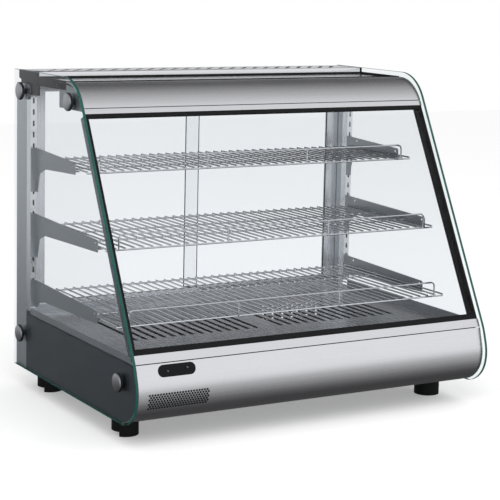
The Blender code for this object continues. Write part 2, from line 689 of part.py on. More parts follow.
# ---- shelves and their brackets ----
def make_bracket(shelf, tag, side, top, tip, drop):
    rise = top + ARM_RISE
    back = UPRIGHT_FRONT - GAP
    foot = rise + 0.0090 - drop
    heel = rise - 0.0450 if foot < rise - 0.06 else rise - 0.0400
    profile = [(tip, rise - 0.0255), (tip, rise - 0.003), (tip + 0.003, rise), (back, rise + 0.0090), (back, foot),
               (0.2240, foot), (0.2110, heel), (0.1800, rise - 0.0330)]
    holes = [arc(centre, 0.0028, 0, 324, 9) for centre in ((tip + 0.012, rise - 0.0065), (0.1950, rise + 0.0005))]
    name = f"bracket_{shelf}_{tag}"
    bracket = outline(name, "satin", [profile, *holes], side * ARM_X, side * (ARM_X + ARM_SHEET), "yz")
    seat = top - 2 * WIRE + WELD - GAP
    join(bracket, bars(f"{name}_lip", None, [(both(side, ARM_X - ARM_LIP, ARM_X + ARM_SHEET / 2),
                                              (tip + 0.004, 0.2240), (seat - SHEET, seat))]))
    join(bracket, bars(f"{name}_hook_plate", None, [(both(side, ARM_X + 0.0004, 0.4205),
                                                     (back - ARM_SHEET, back), (foot, rise + 0.0090))]))


def make_shelf(shelf, front, top):
    """Long wires from front to back, lying on wires that run across, and a guard rail in front."""
    half = WIRE / 2
    step = 2 * SHELF_HALF / (LONG_WIRES - 1)
    long_z = top - half
    cross_z = long_z - WIRE + WELD
    places = [i * step - SHELF_HALF for i in range(LONG_WIRES)]
    routes = [[(x, front + WIRE_INSET, long_z), (x, SHELF_REAR - WIRE_INSET, long_z)] for x in places]
    grid = wires(f"shelf_{shelf}", "chrome", routes, WIRE)

    depth = SHELF_REAR - front
    reach = SHELF_HALF + half - 0.0002
    rows = [front + half + (depth - WIRE) * i / 3 for i in range(4)]
    routes = [[(-reach, y, cross_z), (reach, y, cross_z)] for y in rows]
    join(grid, wires(f"shelf_{shelf}_cross", None, routes, WIRE))

    y = front - half + WELD
    foot = cross_z - half + 0.0003
    rail = top + RAIL_RISE - half
    end = arc((RAIL_HALF - RAIL_BEND, rail - RAIL_BEND), RAIL_BEND, 90, 0, 3)
    right = [(u, y, v) for u, v in end] + [(RAIL_HALF, y, foot)]
    left = [(-x, y, z) for x, y, z in reversed(right)]
    join(grid, wires(f"shelf_{shelf}_rail", None, [left + right], WIRE))

    routes = [[(x, y, foot + 0.0003), (x, y, rail - half + WELD)] for x in RAIL_POSTS]
    join(grid, wires(f"shelf_{shelf}_posts", None, routes, WIRE - 0.0004))
    on_joint(f"{shelf}_shelf_lift", (0, (front + SHELF_REAR) / 2, top - 2 * WIRE), grid)


def make_shelves():
    for shelf, (front, top, tip, drop) in SHELVES.items():
        for tag, side in SIDES.items():
            make_bracket(shelf, tag, side, top, tip, drop)
        make_shelf(shelf, front, top)


# ---- side glasses and their caps ----
def make_side_glasses():
    knee = SLANT_BOTTOM + OUTWARD * GLASS_PROUD
    edge = [(REAR, TOP), *arc(NOSE_CENTRE, NOSE_R, 90, ARC_END, 12), (knee.y + 0.0026, knee.z + 0.0050),
            *GLASS_FOOT, (REAR, GLASS_FOOT[-1][1])]
    holes = [arc(centre, CAP_HOLE, 0, 330, 11) for centre in CAPS.values()]
    face = HALF_INSIDE + GLASS + GAP
    for tag, side in SIDES.items():
        outline(f"side_glass_{tag}", "glass", [edge, *holes], side * HALF_INSIDE, side * (HALF_INSIDE + GLASS), "yz")
        for where, (y, z) in CAPS.items():
            head = CAP_OUT - face
            stud = HALF_INSIDE + 0.0001 - face
            profile = [(0, head), (CAP_R - CAP_EDGE, head), (CAP_R, head - CAP_EDGE), (CAP_R, 0), (CAP_STUD, 0),
                       (CAP_STUD, stud), (0, stud)]
            cap = turned(f"glass_cap_{where}_{tag}", "aluminium", profile, 24)
            cap.location = (side * face, y, z)
            cap.rotation_euler.y = side * math.radians(90)


clear_scene()
part = new_collection("hot_food_display_case")
cutters = new_collection("cutters")
cutters.hide_render = True
make_front()
make_base()
make_deck()
make_feet()
make_element()
make_header()
make_top()
make_posts()
make_tracks()
make_doors()
make_rear_panel()
make_controls()
make_shelves()
make_side_glasses()
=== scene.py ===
"""Finishes a countertop hot food display case: smooth sheet metal, glass, wire shelves and materials."""

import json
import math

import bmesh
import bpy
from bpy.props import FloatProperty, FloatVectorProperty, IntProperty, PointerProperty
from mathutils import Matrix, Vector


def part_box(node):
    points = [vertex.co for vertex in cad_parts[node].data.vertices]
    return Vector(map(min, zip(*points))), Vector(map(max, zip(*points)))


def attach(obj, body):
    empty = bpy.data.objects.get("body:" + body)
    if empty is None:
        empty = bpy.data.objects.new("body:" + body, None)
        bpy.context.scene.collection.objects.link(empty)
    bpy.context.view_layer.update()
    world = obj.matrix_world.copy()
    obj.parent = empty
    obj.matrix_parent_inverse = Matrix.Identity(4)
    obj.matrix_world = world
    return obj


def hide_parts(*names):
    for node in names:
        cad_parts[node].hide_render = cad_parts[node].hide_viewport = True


bl_info = {
    "name": "Hot Food Display Case",
    "version": (1, 0, 0),
    "blender": (4, 5, 0),
    "location": "View3D > Sidebar > Display Case",
    "description": "Builds the visible surfaces of a heated display case around its packed frame",
    "category": "Object",
}

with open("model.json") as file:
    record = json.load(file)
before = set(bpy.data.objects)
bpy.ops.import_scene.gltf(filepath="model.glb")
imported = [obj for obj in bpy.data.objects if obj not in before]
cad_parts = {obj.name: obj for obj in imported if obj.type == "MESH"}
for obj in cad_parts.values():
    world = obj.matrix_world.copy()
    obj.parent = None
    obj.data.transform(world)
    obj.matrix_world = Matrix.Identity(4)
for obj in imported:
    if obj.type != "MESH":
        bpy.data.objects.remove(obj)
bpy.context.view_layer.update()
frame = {"nodes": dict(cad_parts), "record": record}

CABINET = "cabinet"
SIDES = {"left": -1, "right": 1}
FINISHES = {}                          # own materials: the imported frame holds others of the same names
OVERCUT = 0.0100                       # how far a cutter runs past what it cuts

# the slanted front plane, from the header seam down to the base seam
SLANT_TOP = Vector((0.0, -0.0423, 0.6535))
SLANT_BOTTOM = Vector((0.0, -0.2943, 0.1746))
SLANT_DOWN = (SLANT_BOTTOM - SLANT_TOP).normalized()
OUTWARD = Vector((0, SLANT_DOWN.z, -SLANT_DOWN.y))
ARC_END = math.degrees(math.atan2(OUTWARD.z, OUTWARD.y))

HEADER_CENTRE = (0.0382, 0.6111)
HEADER_R = 0.0910
NOSE_CENTRE = (0.0385, 0.6185)
NOSE_R = 0.0950
GLASS_PROUD = 0.0070
SEAL_PROUD = 0.0016                    # how far the top seal's bead stands over the header
SEAL_BEAD = 0.0050
SEAM = 0.0016                          # the open line between a curved skin and its flat trim
FOLD = 0.0060                          # how far a skin's edge is folded in at its seam
FASCIA = [(-0.2945, 0.1735), (-0.2995, 0.1560), (-0.3035, 0.1420), (-0.3067, 0.1280), (-0.3073, 0.1150),
          (-0.3055, 0.1010), (-0.3010, 0.0880), (-0.2930, 0.0755), (-0.2815, 0.0640), (-0.2665, 0.0545),
          (-0.2510, 0.0485), (-0.2380, 0.0460)]
GLASS_FOOT = [(-0.3045, 0.1680), (-0.3090, 0.1540), (-0.3135, 0.1390), (-0.3160, 0.1240), (-0.3158, 0.1090),
              (-0.3120, 0.0920), (-0.3040, 0.0765), (-0.2915, 0.0630), (-0.2755, 0.0525), (-0.2580, 0.0465),
              (-0.2400, 0.0445)]

WINDOW_AT = (-0.3310, 0.1587)
WINDOW_HALF = 0.0420
WINDOW_R = 0.0119
WINDOW_CUT = (-0.3300, -0.2700)        # from ahead of the fascia to behind it
LIGHT_DOTS = ((-0.3520, 0.1585), (-0.3090, 0.1620))
DOT_R = 0.0016
DOT_PROUD = 0.0004
DOT_BACK = -0.2980
VENT_CORNER = (-0.3940, 0.0860)
VENT_DRILL = 0.0050                    # how far behind the fascia's foremost line the drills are centred
VENT_SIDE = 0.0050                     # the margins round the holes of the black sheet behind them, which is painted shade
VENT_BELOW = 0.0040
VENT_ABOVE = 0.0020
VENT_SHADE_SHEET = (-0.2960, -0.2945)       # its front and back

BEAM_SLOT = (0.0640, 0.0085)           # length and width
DECK_TOP = 0.1740
DECK_STEP = 0.2347                     # behind this line the deck is narrower, between the posts
DECK_INSIDE = 0.4067                   # half its width there
DECK_SLOT = (0.2050, 0.0095)           # length and width
DECK_SLOT_AT = (0.0310, 0.0045)        # the middle of the slot nearest the case's middle
LIP_SETBACK = 0.0070
LIP_LAP = 0.0010

KNEE_START = (0.0026, 0.0050)          # how far behind and above the knee a side pane starts to turn in
CAP_HOLE_R = 0.0060
CAP_INNER = 0.4283                     # just off the side glass
CAP_FACE_EDGE = ((0.0024, 0.0), (0.0012, 0.0004), (0.0, 0.0020))    # in from the rim, back from the face
CAP_REAR_EDGE = ((0.0, 0.0008), (0.0010, 0.0))
# width of the cap's rim band that gets painted shade
CAP_SHADED_RIM = 0.0015
RIB_DEPTH = 0.0004
CAPS = {"rear_top": (0.2720, 0.6670), "front_top": (0.0105, 0.6640),
        "rear_bottom": (0.2720, 0.1240), "front_bottom": (-0.2400, 0.1300)}
FEET = {"front": -0.1650, "rear": 0.2230}
FOOT_X = 0.3780
FOOT_STEP = (0.0120, 0.0100)          # how far out it starts, and how high it is
FOOT_STEP_TURN = math.radians(25)
FOOT_STEP_REACH = 0.0600

SHELVES = {"top": (-0.0310, 0.5235), "middle": (-0.1270, 0.3775), "bottom": (-0.1770, 0.2295)}
SHELF_HALF = 0.4045
SHELF_REAR = 0.2260
RAIL_HALF = 0.3790
RAIL_POST = 0.1250
RAIL_RISE = 0.0290
RAIL_BEND = 0.0090
WIRE_SINK = 0.0003                     # how far crossing wires sink into each other

SCREW_X = (-0.390, -0.030, 0.390)
SCREW_Z = (0.060, 0.156)
SCREW_PROUD = 0.0009
SCREW_DEPTH = 0.0016
SCREW_CROSS = (0.0036, 0.0009)         # length and width of each bar

MIRROR_FACE_ON = 0.010                 # share of light that a pane's face mirrors
MIRROR_EDGE_ON = 0.60
MIRROR_POWER = 5.0

LENS = 117.09
CAMERA_AT = Vector((-1.7813, -3.0702, 0.9403))
CAMERA_FORWARD = Vector((0.49781, 0.85626, -0.13785))
CAMERA_RIGHT = Vector((0.86582, -0.49988, 0.02162))
CAMERA_SHIFT = (-0.0027, -0.1065)
SENSOR = 36
LIGHTS = {"key": ((-1.6, -2.2, 3.0), 60), "fill": ((2.2, -1.6, 2.4), 30)}
LIGHT_SIZE = 2.5
LIGHT_AIM = Vector((0, 0, 0.3))
FLOOR_HALF = 6
FLOOR_DEPTH = 0.02
FLOOR_SHADE = 0.66
FLOOR_GLOW = 0.30                      # keeps the contact shadow faint, as on a lit table

# brightness that polished metal mirrors, by the direction's angle over the back horizon, in degrees
ROOM = [(-180, 0.85), (-171, 0.70), (-160, 0.46), (-130, 0.18), (-90, 0.05), (-50, 0.06), (-20, 0.10),
        (-13, 0.22), (-9, 0.60), (0, 0.76), (9, 0.80), (14, 0.11), (50, 0.09), (60, 0.15), (79, 0.32),
        (105, 0.56), (133, 0.84), (152, 0.97), (160, 1.0), (180, 0.85)]
ROOM_TINT = (1.0, 1.005, 1.02)


# ---- what a user can change ----
def length(name, text, default, low=0.0, high=1.0):
    return FloatProperty(name=name, description=text, default=default, min=low, max=high, unit="LENGTH")


def count(name, text, default, low=1):
    return IntProperty(name=name, description=text, default=default, min=low)


def colour(name, text, default):
    return FloatVectorProperty(name=name, description=text, default=default, subtype="COLOR", min=0, max=1)


class CaseSizes(bpy.types.PropertyGroup):
    sheet: length("Sheet", "Thickness of the stainless sheet", 0.0015, 0.0005, 0.003)
    wire: length("Wire", "Diameter of the shelf wire", 0.0036, 0.001, 0.006)
    long_wires: count("Long wires", "Wires from front to back on a shelf", 40, 2)
    cross_wires: count("Cross wires", "Wires across under a shelf", 4, 2)
    deck_slots: count("Deck slots", "Slots on each side of the deck", 14)
    deck_pitch: length("Deck pitch", "Distance between deck slots", 0.0223)
    beam_slots: count("Beam slots", "Slanted slots in the top beam", 25)
    beam_pitch: length("Beam pitch", "Distance between the top beam's slots", 0.0304)
    beam_turn: FloatProperty(name="Beam slot angle", default=math.radians(-38), subtype="ANGLE",
                             description="How far the beam's slots slant from front to back")
    vent_columns: count("Vent columns", "Holes in a row of the front vent", 22, 2)
    vent_rows: count("Vent rows", "Rows of holes in the front vent", 7)
    vent_pitch: length("Vent pitch", "Distance between holes in a row", 0.0061)
    vent_row_pitch: length("Vent row pitch", "Distance between rows of holes", 0.0047)
    vent_hole: length("Vent hole", "Diameter of a vent hole", 0.0048)
    screw_head: length("Screw head", "Diameter of the rear panel's screw heads", 0.0070, 0.003, 0.02)
    ribs: count("Cap ribs", "Fine ribs round each glass cap", 60, 8)


class CaseFinish(bpy.types.PropertyGroup):
    steel: colour("Steel", "Brushed stainless steel", (0.78, 0.78, 0.80))
    satin: colour("Satin steel", "Plain satin sheet", (0.46, 0.49, 0.51))
    paint: colour("Side panel", "Grey end panels behind the side glass", (0.150, 0.172, 0.190))
    aluminium: colour("Aluminium", "Anodised posts and tracks", (0.62, 0.65, 0.67))
    chrome: colour("Chrome", "Bright wire of the shelves", (0.92, 0.93, 0.95))
    black: colour("Black", "Plastic and rubber parts", (0.004, 0.0045, 0.005))
    glass_edge: colour("Glass edge", "Ground edge of the panes", (0.005, 0.075, 0.060))
    smoke: colour("Smoked window", "Gloss window of the indicator lights", (0.005, 0.0055, 0.007))


# ---- material nodes ----
def new_material(name):
    """Adds a material to the finishes, and gives its tree, its shader and object coordinates."""
    material = FINISHES[name] = bpy.data.materials.new(name)
    material.use_nodes = True
    tree = material.node_tree
    shader = tree.nodes["Principled BSDF"]
    place = tree.nodes.new("ShaderNodeTexCoord").outputs["Object"]
    return tree, shader, place


def noise(tree, place, scale, detail=3.0, stretch=(1, 1, 1)):
    """A noise value in object coordinates, drawn out along an axis by a small stretch."""
    mapping = tree.nodes.new("ShaderNodeMapping")
    mapping.inputs["Scale"].default_value = stretch
    tree.links.new(place, mapping.inputs["Vector"])
    texture = tree.nodes.new("ShaderNodeTexNoise")
    texture.inputs["Scale"].default_value = scale
    texture.inputs["Detail"].default_value = detail
    tree.links.new(mapping.outputs["Vector"], texture.inputs["Vector"])
    return texture.outputs["Fac"]


def spread(tree, value, low, high):
    """A noise value's useful middle stretched from low to high."""
    ranged = tree.nodes.new("ShaderNodeMapRange")
    ranged.inputs["From Min"].default_value = 0.3
    ranged.inputs["From Max"].default_value = 0.7
    ranged.inputs["To Min"].default_value = low
    ranged.inputs["To Max"].default_value = high
    tree.links.new(value, ranged.inputs["Value"])
    return ranged.outputs["Result"]


def vary_colour(tree, shader, value, base, darker):
    """Base colour between a darker shade and itself."""
    mix = tree.nodes.new("ShaderNodeMix")
    mix.data_type = "RGBA"
    mix.inputs["A"].default_value = (*[c * darker for c in base], 1)
    mix.inputs["B"].default_value = (*base, 1)
    tree.links.new(value, mix.inputs["Factor"])
    tree.links.new(mix.outputs["Result"], shader.inputs["Base Color"])


def add_bump(tree, shader, value, strength, distance):
    bump = tree.nodes.new("ShaderNodeBump")
    bump.inputs["Strength"].default_value = strength
    bump.inputs["Distance"].default_value = distance
    tree.links.new(value, bump.inputs["Height"])
    tree.links.new(bump.outputs["Normal"], shader.inputs["Normal"])


def brushed_metal(name, base, roughness, stretch, grain=0.04):
    """Metal with fine lines drawn out by a stretch, and faint handling marks."""
    tree, shader, place = new_material(name)
    shader.inputs["Metallic"].default_value = 1.0
    lines = noise(tree, place, scale=160.0, detail=5.0, stretch=stretch)
    clouds = noise(tree, place, scale=7.0, detail=2.0)
    mean = tree.nodes.new("ShaderNodeMath")
    mean.operation = "MULTIPLY_ADD"
    mean.inputs[1].default_value = 0.35
    tree.links.new(clouds, mean.inputs[0])
    tree.links.new(spread(tree, lines, 0.0, 0.65), mean.inputs[2])
    tree.links.new(spread(tree, mean.outputs[0], roughness * 0.85, roughness * 1.2), shader.inputs["Roughness"])
    vary_colour(tree, shader, spread(tree, lines, 0.0, 1.0), base, 1 - grain)
    add_bump(tree, shader, lines, strength=0.012, distance=0.0002)


def soft_black(name, base, roughness, grain=900.0, depth=0.0004, gloss=0.2):
    """Moulded plastic or rubber with a fine grain."""
    tree, shader, place = new_material(name)
    shader.inputs["Specular IOR Level"].default_value = gloss
    fine = noise(tree, place, scale=grain, detail=2.0)
    clouds = noise(tree, place, scale=14.0, detail=3.0)
    tree.links.new(spread(tree, clouds, roughness * 0.85, roughness * 1.15), shader.inputs["Roughness"])
    vary_colour(tree, shader, spread(tree, clouds, 0.0, 1.0), base, 0.75)
    add_bump(tree, shader, fine, strength=0.12, distance=depth)


def clear_glass(name, tint):
    """A pane that lets light straight through and mirrors more at a glancing angle."""
    tree, shader, place = new_material(name)
    tree.nodes.remove(shader)
    through = tree.nodes.new("ShaderNodeBsdfTransparent")
    through.inputs["Color"].default_value = (*tint, 1)
    mirror = tree.nodes.new("ShaderNodeBsdfGlossy")
    smears = noise(tree, place, scale=6.0, detail=2.0)
    tree.links.new(spread(tree, smears, 0.0, 0.05), mirror.inputs["Roughness"])
    facing = tree.nodes.new("ShaderNodeLayerWeight")
    facing.inputs["Blend"].default_value = 0.5
    power = tree.nodes.new("ShaderNodeMath")
    power.operation = "POWER"
    power.inputs[1].default_value = MIRROR_POWER
    tree.links.new(facing.outputs["Facing"], power.inputs[0])
    share = tree.nodes.new("ShaderNodeMath")
    share.operation = "MULTIPLY_ADD"
    share.inputs[1].default_value = MIRROR_EDGE_ON
    share.inputs[2].default_value = MIRROR_FACE_ON
    tree.links.new(power.outputs[0], share.inputs[0])
    mix = tree.nodes.new("ShaderNodeMixShader")
    tree.links.new(share.outputs[0], mix.inputs["Fac"])
    tree.links.new(through.outputs[0], mix.inputs[1])
    tree.links.new(mirror.outputs[0], mix.inputs[2])
    tree.links.new(mix.outputs[0], tree.nodes["Material Output"].inputs["Surface"])


def make_materials():
    """Every finish of the case, by name."""
    FINISHES.clear()
    finish = bpy.context.scene.case_finish
    along_x, along_y, along_z = (0.02, 8, 8), (8, 0.02, 8), (8, 8, 0.02)
    steel, satin, alu = finish.steel[:], finish.satin[:], finish.aluminium[:]
    brushed_metal("brushed_fascia", steel, 0.30, along_x)
    brushed_metal("brushed_header", steel, 0.28, along_x)
    brushed_metal("brushed_top", steel, 0.20, along_x)
    brushed_metal("trim_metal", steel, 0.30, along_x)
    brushed_metal("base_metal", satin, 0.42, along_x)
    brushed_metal("rear_metal", steel, 0.36, along_x)
    brushed_metal("deck_metal", steel, 0.24, along_y)
    brushed_metal("side_panel", finish.paint[:], 0.50, along_y, 0.20)
    brushed_metal("end_plate", satin, 0.45, along_z)
    brushed_metal("bracket_metal", satin, 0.36, along_y)
    brushed_metal("cap_metal", (0.42, 0.43, 0.45), 0.30, along_z, 0.08)
    # painted shade: the caps' ribbed rims are near-black for the shade that falls on them
    brushed_metal("cap_rim_painted_shade", (0.10, 0.10, 0.11), 0.38, along_x, 0.20)
    brushed_metal("polished_steel", (0.95, 0.96, 0.97), 0.09, along_z, 0.04)
    brushed_metal("post_aluminium", alu, 0.34, along_z)
    brushed_metal("door_aluminium", (0.90, 0.92, 0.94), 0.26, along_z)
    brushed_metal("track_aluminium", alu, 0.34, along_x)
    brushed_metal("chrome_wire", finish.chrome[:], 0.12, (1, 1, 1), 0.06)
    brushed_metal("element_metal", (0.12, 0.10, 0.09), 0.50, (1, 1, 1), 0.35)
    soft_black("black_plastic", finish.black[:], 0.42)
    soft_black("diffuser_plastic", (0.85, 0.85, 0.82), 0.45, 300.0, 0.0002, 0.5)
    soft_black("smoked_plastic", finish.smoke[:], 0.12, 300.0, 0.0001, 0.12)
    soft_black("foot_rubber", finish.black[:], 0.62, 600.0)
    soft_black("seal_rubber", finish.black[:], 0.55, 700.0)
    brushed_metal("seal_side", (0.34, 0.355, 0.40), 0.40, along_z, 0.10)
    soft_black("glass_edge", finish.glass_edge[:], 0.25, 1200.0, 0.0002, 0.3)
    clear_glass("front_glass", (0.953, 0.960, 0.966))
    clear_glass("side_glass", (0.950, 0.962, 0.968))
    clear_glass("door_glass", (0.958, 0.966, 0.974))
    soft_black("lamp_dot", (0.10, 0.10, 0.11), 0.20, 300.0, 0.0001)


# ---- geometry helpers ----
def arc(centre, radius, start, end, steps):
    turns = [math.radians(start + (end - start) * i / steps) for i in range(steps + 1)]
    return [(centre[0] + radius * math.cos(a), centre[1] + radius * math.sin(a)) for a in turns]


def circle(centre, radius, corners=24):
    return arc(centre, radius, 0, 360 - 360 / corners, corners - 1)


def rectangle(left, foot, right, crown):
    return [(left, foot), (right, foot), (right, crown), (left, crown)]


def smooth_path(points, steps=4):
    """A smooth curve through an open row of points."""
    path = []
    for i in range(len(points) - 1):
        a, b, c, d = [Vector(points[min(max(k, 0), len(points) - 1)]) for k in range(i - 1, i + 3)]
        for s in range(steps):
            t = s / steps
            bend, twist = 2 * a - 5 * b + 4 * c - d, 3 * b - a - 3 * c + d
            path.append(tuple(0.5 * (2 * b + (c - a) * t + bend * t ** 2 + twist * t ** 3)))
    return path + [tuple(points[-1])]


def show(name, data):
    obj = bpy.data.objects.new(name, data)
    bpy.context.scene.collection.objects.link(obj)
    return obj


def show_bmesh(name, bm):
    mesh = bpy.data.meshes.new(name)
    bm.to_mesh(mesh)
    bm.free()
    return show(name, mesh)


def settle(obj):
    """The object's evaluated mesh as its own plain mesh, with no modifier left."""
    bpy.context.view_layer.update()
    graph = bpy.context.evaluated_depsgraph_get()
    mesh = bpy.data.meshes.new_from_object(obj.evaluated_get(graph))
    name = obj.name
    bpy.data.objects.remove(obj)
    return show(name, mesh)


def finish_mesh(obj, materials, angle=35):
    """Sets the materials, and smooth shading with sharp corners."""
    obj.data.materials.clear()
    for name in materials:
        obj.data.materials.append(FINISHES[name])
    obj.data.shade_smooth()
    obj.data.set_sharp_from_angle(angle=math.radians(angle))
    return obj


def place_piece(obj, body, slot, *nodes):
    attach(obj, body)
    if nodes:
        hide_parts(*nodes)
    return obj


def bevel(obj, width, segments=2, angle=40):
    """The object with its corners sharper than the angle rounded off, as a plain mesh."""
    modifier = obj.modifiers.new("edges", "BEVEL")
    modifier.width = width
    modifier.segments = segments
    modifier.limit_method = "ANGLE"
    modifier.angle_limit = math.radians(angle)
    modifier.harden_normals = False
    return settle(obj)


def slab(name, loop, low, high, plane):
    """A closed loop made a solid from low to high: 'xy' lies down, 'yz' stands across, 'xz' faces the front."""
    bm = bmesh.new()
    places = {"xy": lambda u, v, w: (u, v, w), "yz": lambda u, v, w: (w, u, v), "xz": lambda u, v, w: (u, w, v)}
    place = places[plane]
    face = bm.faces.new([bm.verts.new(place(u, v, low)) for u, v in loop])
    pushed = bmesh.ops.extrude_face_region(bm, geom=[face])["geom"]
    offset = Vector(place(0, 0, high)) - Vector(place(0, 0, low))
    bmesh.ops.translate(bm, vec=offset, verts=[v for v in pushed if isinstance(v, bmesh.types.BMVert)])
    bmesh.ops.recalc_face_normals(bm, faces=bm.faces)
    return show_bmesh(name, bm)


def swept_sheet(name, profile, half, thickness):
    """An open Y-Z profile swept across the case and thickened inwards."""
    bm = bmesh.new()
    rows = [[bm.verts.new((x, y, z)) for y, z in profile] for x in (-half, half)]
    for i in range(len(profile) - 1):
        bm.faces.new((rows[0][i], rows[0][i + 1], rows[1][i + 1], rows[1][i]))
    bmesh.ops.recalc_face_normals(bm, faces=bm.faces)
    outward = sum((f.normal.copy() for f in bm.faces), Vector())
    if outward.y > 0:
        bmesh.ops.reverse_faces(bm, faces=bm.faces)
    obj = show_bmesh(name, bm)
    solidify = obj.modifiers.new("sheet", "SOLIDIFY")
    solidify.thickness = thickness
    solidify.offset = -1
    solidify.use_even_offset = True
    return obj


def subtract(obj, cutter):
    boolean = obj.modifiers.new(cutter.name, "BOOLEAN")
    boolean.operation = "DIFFERENCE"
    boolean.solver = "EXACT"
    boolean.object = cutter
    made = settle(obj)
    bpy.data.objects.remove(cutter)
    return made


def join_meshes(name, objects):
    """Several objects as one, each with its own material kept."""
    bm = bmesh.new()
    materials = []
    for obj in objects:
        start = len(bm.faces)
        bm.from_mesh(obj.data)
        bm.faces.ensure_lookup_table()
        own = list(obj.data.materials)
        for face in bm.faces[start:]:
            wanted = own[min(face.material_index, len(own) - 1)] if own else None
            if wanted not in materials:
                materials.append(wanted)
            face.material_index = materials.index(wanted)
        bpy.data.objects.remove(obj)
    joined = show_bmesh(name, bm)
    for entry in materials:
        joined.data.materials.append(entry)
    return joined


def round_slot(middle, half, radius, steps=10):
    """A slot with round ends, long along u."""
    u, v = middle
    reach = half - radius
    return arc((u + reach, v), radius, -90, 90, steps) + arc((u - reach, v), radius, 90, 270, steps)


# ---- Geometry Nodes ----
class Tree:
    """A node group under construction, with short ways to add and link nodes."""

    def __init__(self, name, inputs):
        self.group = bpy.data.node_groups.new(name, "GeometryNodeTree")
        face = self.group.interface
        for label, kind, default in inputs:
            socket = face.new_socket(label, in_out="INPUT", socket_type=kind)
            if default is not None:
                socket.default_value = default
        face.new_socket("Geometry", in_out="OUTPUT", socket_type="NodeSocketGeometry")
        self.entry = self.group.nodes.new("NodeGroupInput")
        self.exit = self.group.nodes.new("NodeGroupOutput")

    def add(self, kind, values=None, links=None, **settings):
        """A node with its settings, its plain values and its links, both by socket name or number."""
        node = self.group.nodes.new(kind)
        for key, value in settings.items():
            setattr(node, key, value)
        for key, value in (values or {}).items():
            node.inputs[key].default_value = value
        for key, source in (links or {}).items():
            self.group.links.new(source, node.inputs[key])
        return node

    def given(self, label):
        return self.entry.outputs[label]

    def maths(self, operation, a, b):
        node = self.add("ShaderNodeMath", operation=operation)
        for i, value in enumerate((a, b)):
            if isinstance(value, (int, float)):
                node.inputs[i].default_value = value
            else:
                self.group.links.new(value, node.inputs[i])
        return node.outputs[0]

    def vector(self, x=0.0, y=0.0, z=0.0):
        node = self.add("ShaderNodeCombineXYZ")
        for i, value in enumerate((x, y, z)):
            if isinstance(value, (int, float)):
                node.inputs[i].default_value = value
            else:
                self.group.links.new(value, node.inputs[i])
        return node.outputs[0]

    def row(self, count, start, step):
        """Points in a straight row."""
        line = self.add("GeometryNodeMeshLine", links={"Count": count, "Start Location": start, "Offset": step})
        return line.outputs[0]

    def cut(self, sheet, *cutters):
        """The sheet with the cutters taken out of it."""
        boolean = self.add("GeometryNodeMeshBoolean", links={"Mesh 1": sheet},
                           operation="DIFFERENCE", solver="EXACT")
        for cutter in cutters:
            self.group.links.new(cutter, boolean.inputs["Mesh 2"])
        return boolean.outputs["Mesh"]

    def end(self, geometry):
        """Realize Instances, then Set Material, then the output."""
        real = self.add("GeometryNodeRealizeInstances", links={"Geometry": geometry})
        paint = self.add("GeometryNodeSetMaterial",
                         links={"Geometry": real.outputs["Geometry"], "Material": self.given("Material")})
        self.group.links.new(paint.outputs["Geometry"], self.exit.inputs[0])
        return self.group


def cut_slots_tree():
    """Cuts a row of round-ended slots through a sheet, each turned about its own middle."""
    tree = Tree("Cut a row of slots", [
        ("Geometry", "NodeSocketGeometry", None), ("Count", "NodeSocketInt", 10),
        ("First", "NodeSocketVector", None), ("Pitch", "NodeSocketFloat", 0.02),
        ("Length", "NodeSocketFloat", 0.06), ("Width", "NodeSocketFloat", 0.008),
        ("Turn", "NodeSocketFloat", 0.0), ("Material", "NodeSocketMaterial", None)])
    radius = tree.maths("MULTIPLY", tree.given("Width"), 0.5)
    reach = tree.maths("SUBTRACT", tree.maths("MULTIPLY", tree.given("Length"), 0.5), radius)
    end = tree.add("GeometryNodeMeshCylinder", {"Vertices": 20, "Depth": 0.02}, {"Radius": radius})
    ends = tree.add("GeometryNodeJoinGeometry")
    for offset in (reach, tree.maths("MULTIPLY", reach, -1.0)):
        moved = tree.add("GeometryNodeTransform", links={"Geometry": end.outputs["Mesh"],
                                                         "Translation": tree.vector(y=offset)})
        tree.group.links.new(moved.outputs[0], ends.inputs[0])
    hull = tree.add("GeometryNodeConvexHull", links={"Geometry": ends.outputs[0]})
    row = tree.row(tree.given("Count"), tree.given("First"), tree.vector(x=tree.given("Pitch")))
    copies = tree.add("GeometryNodeInstanceOnPoints", links={
        "Points": row, "Instance": hull.outputs[0], "Rotation": tree.vector(z=tree.given("Turn"))})
    real = tree.add("GeometryNodeRealizeInstances", links={"Geometry": copies.outputs[0]})
    return tree.end(tree.cut(tree.given("Geometry"), real.outputs[0]))


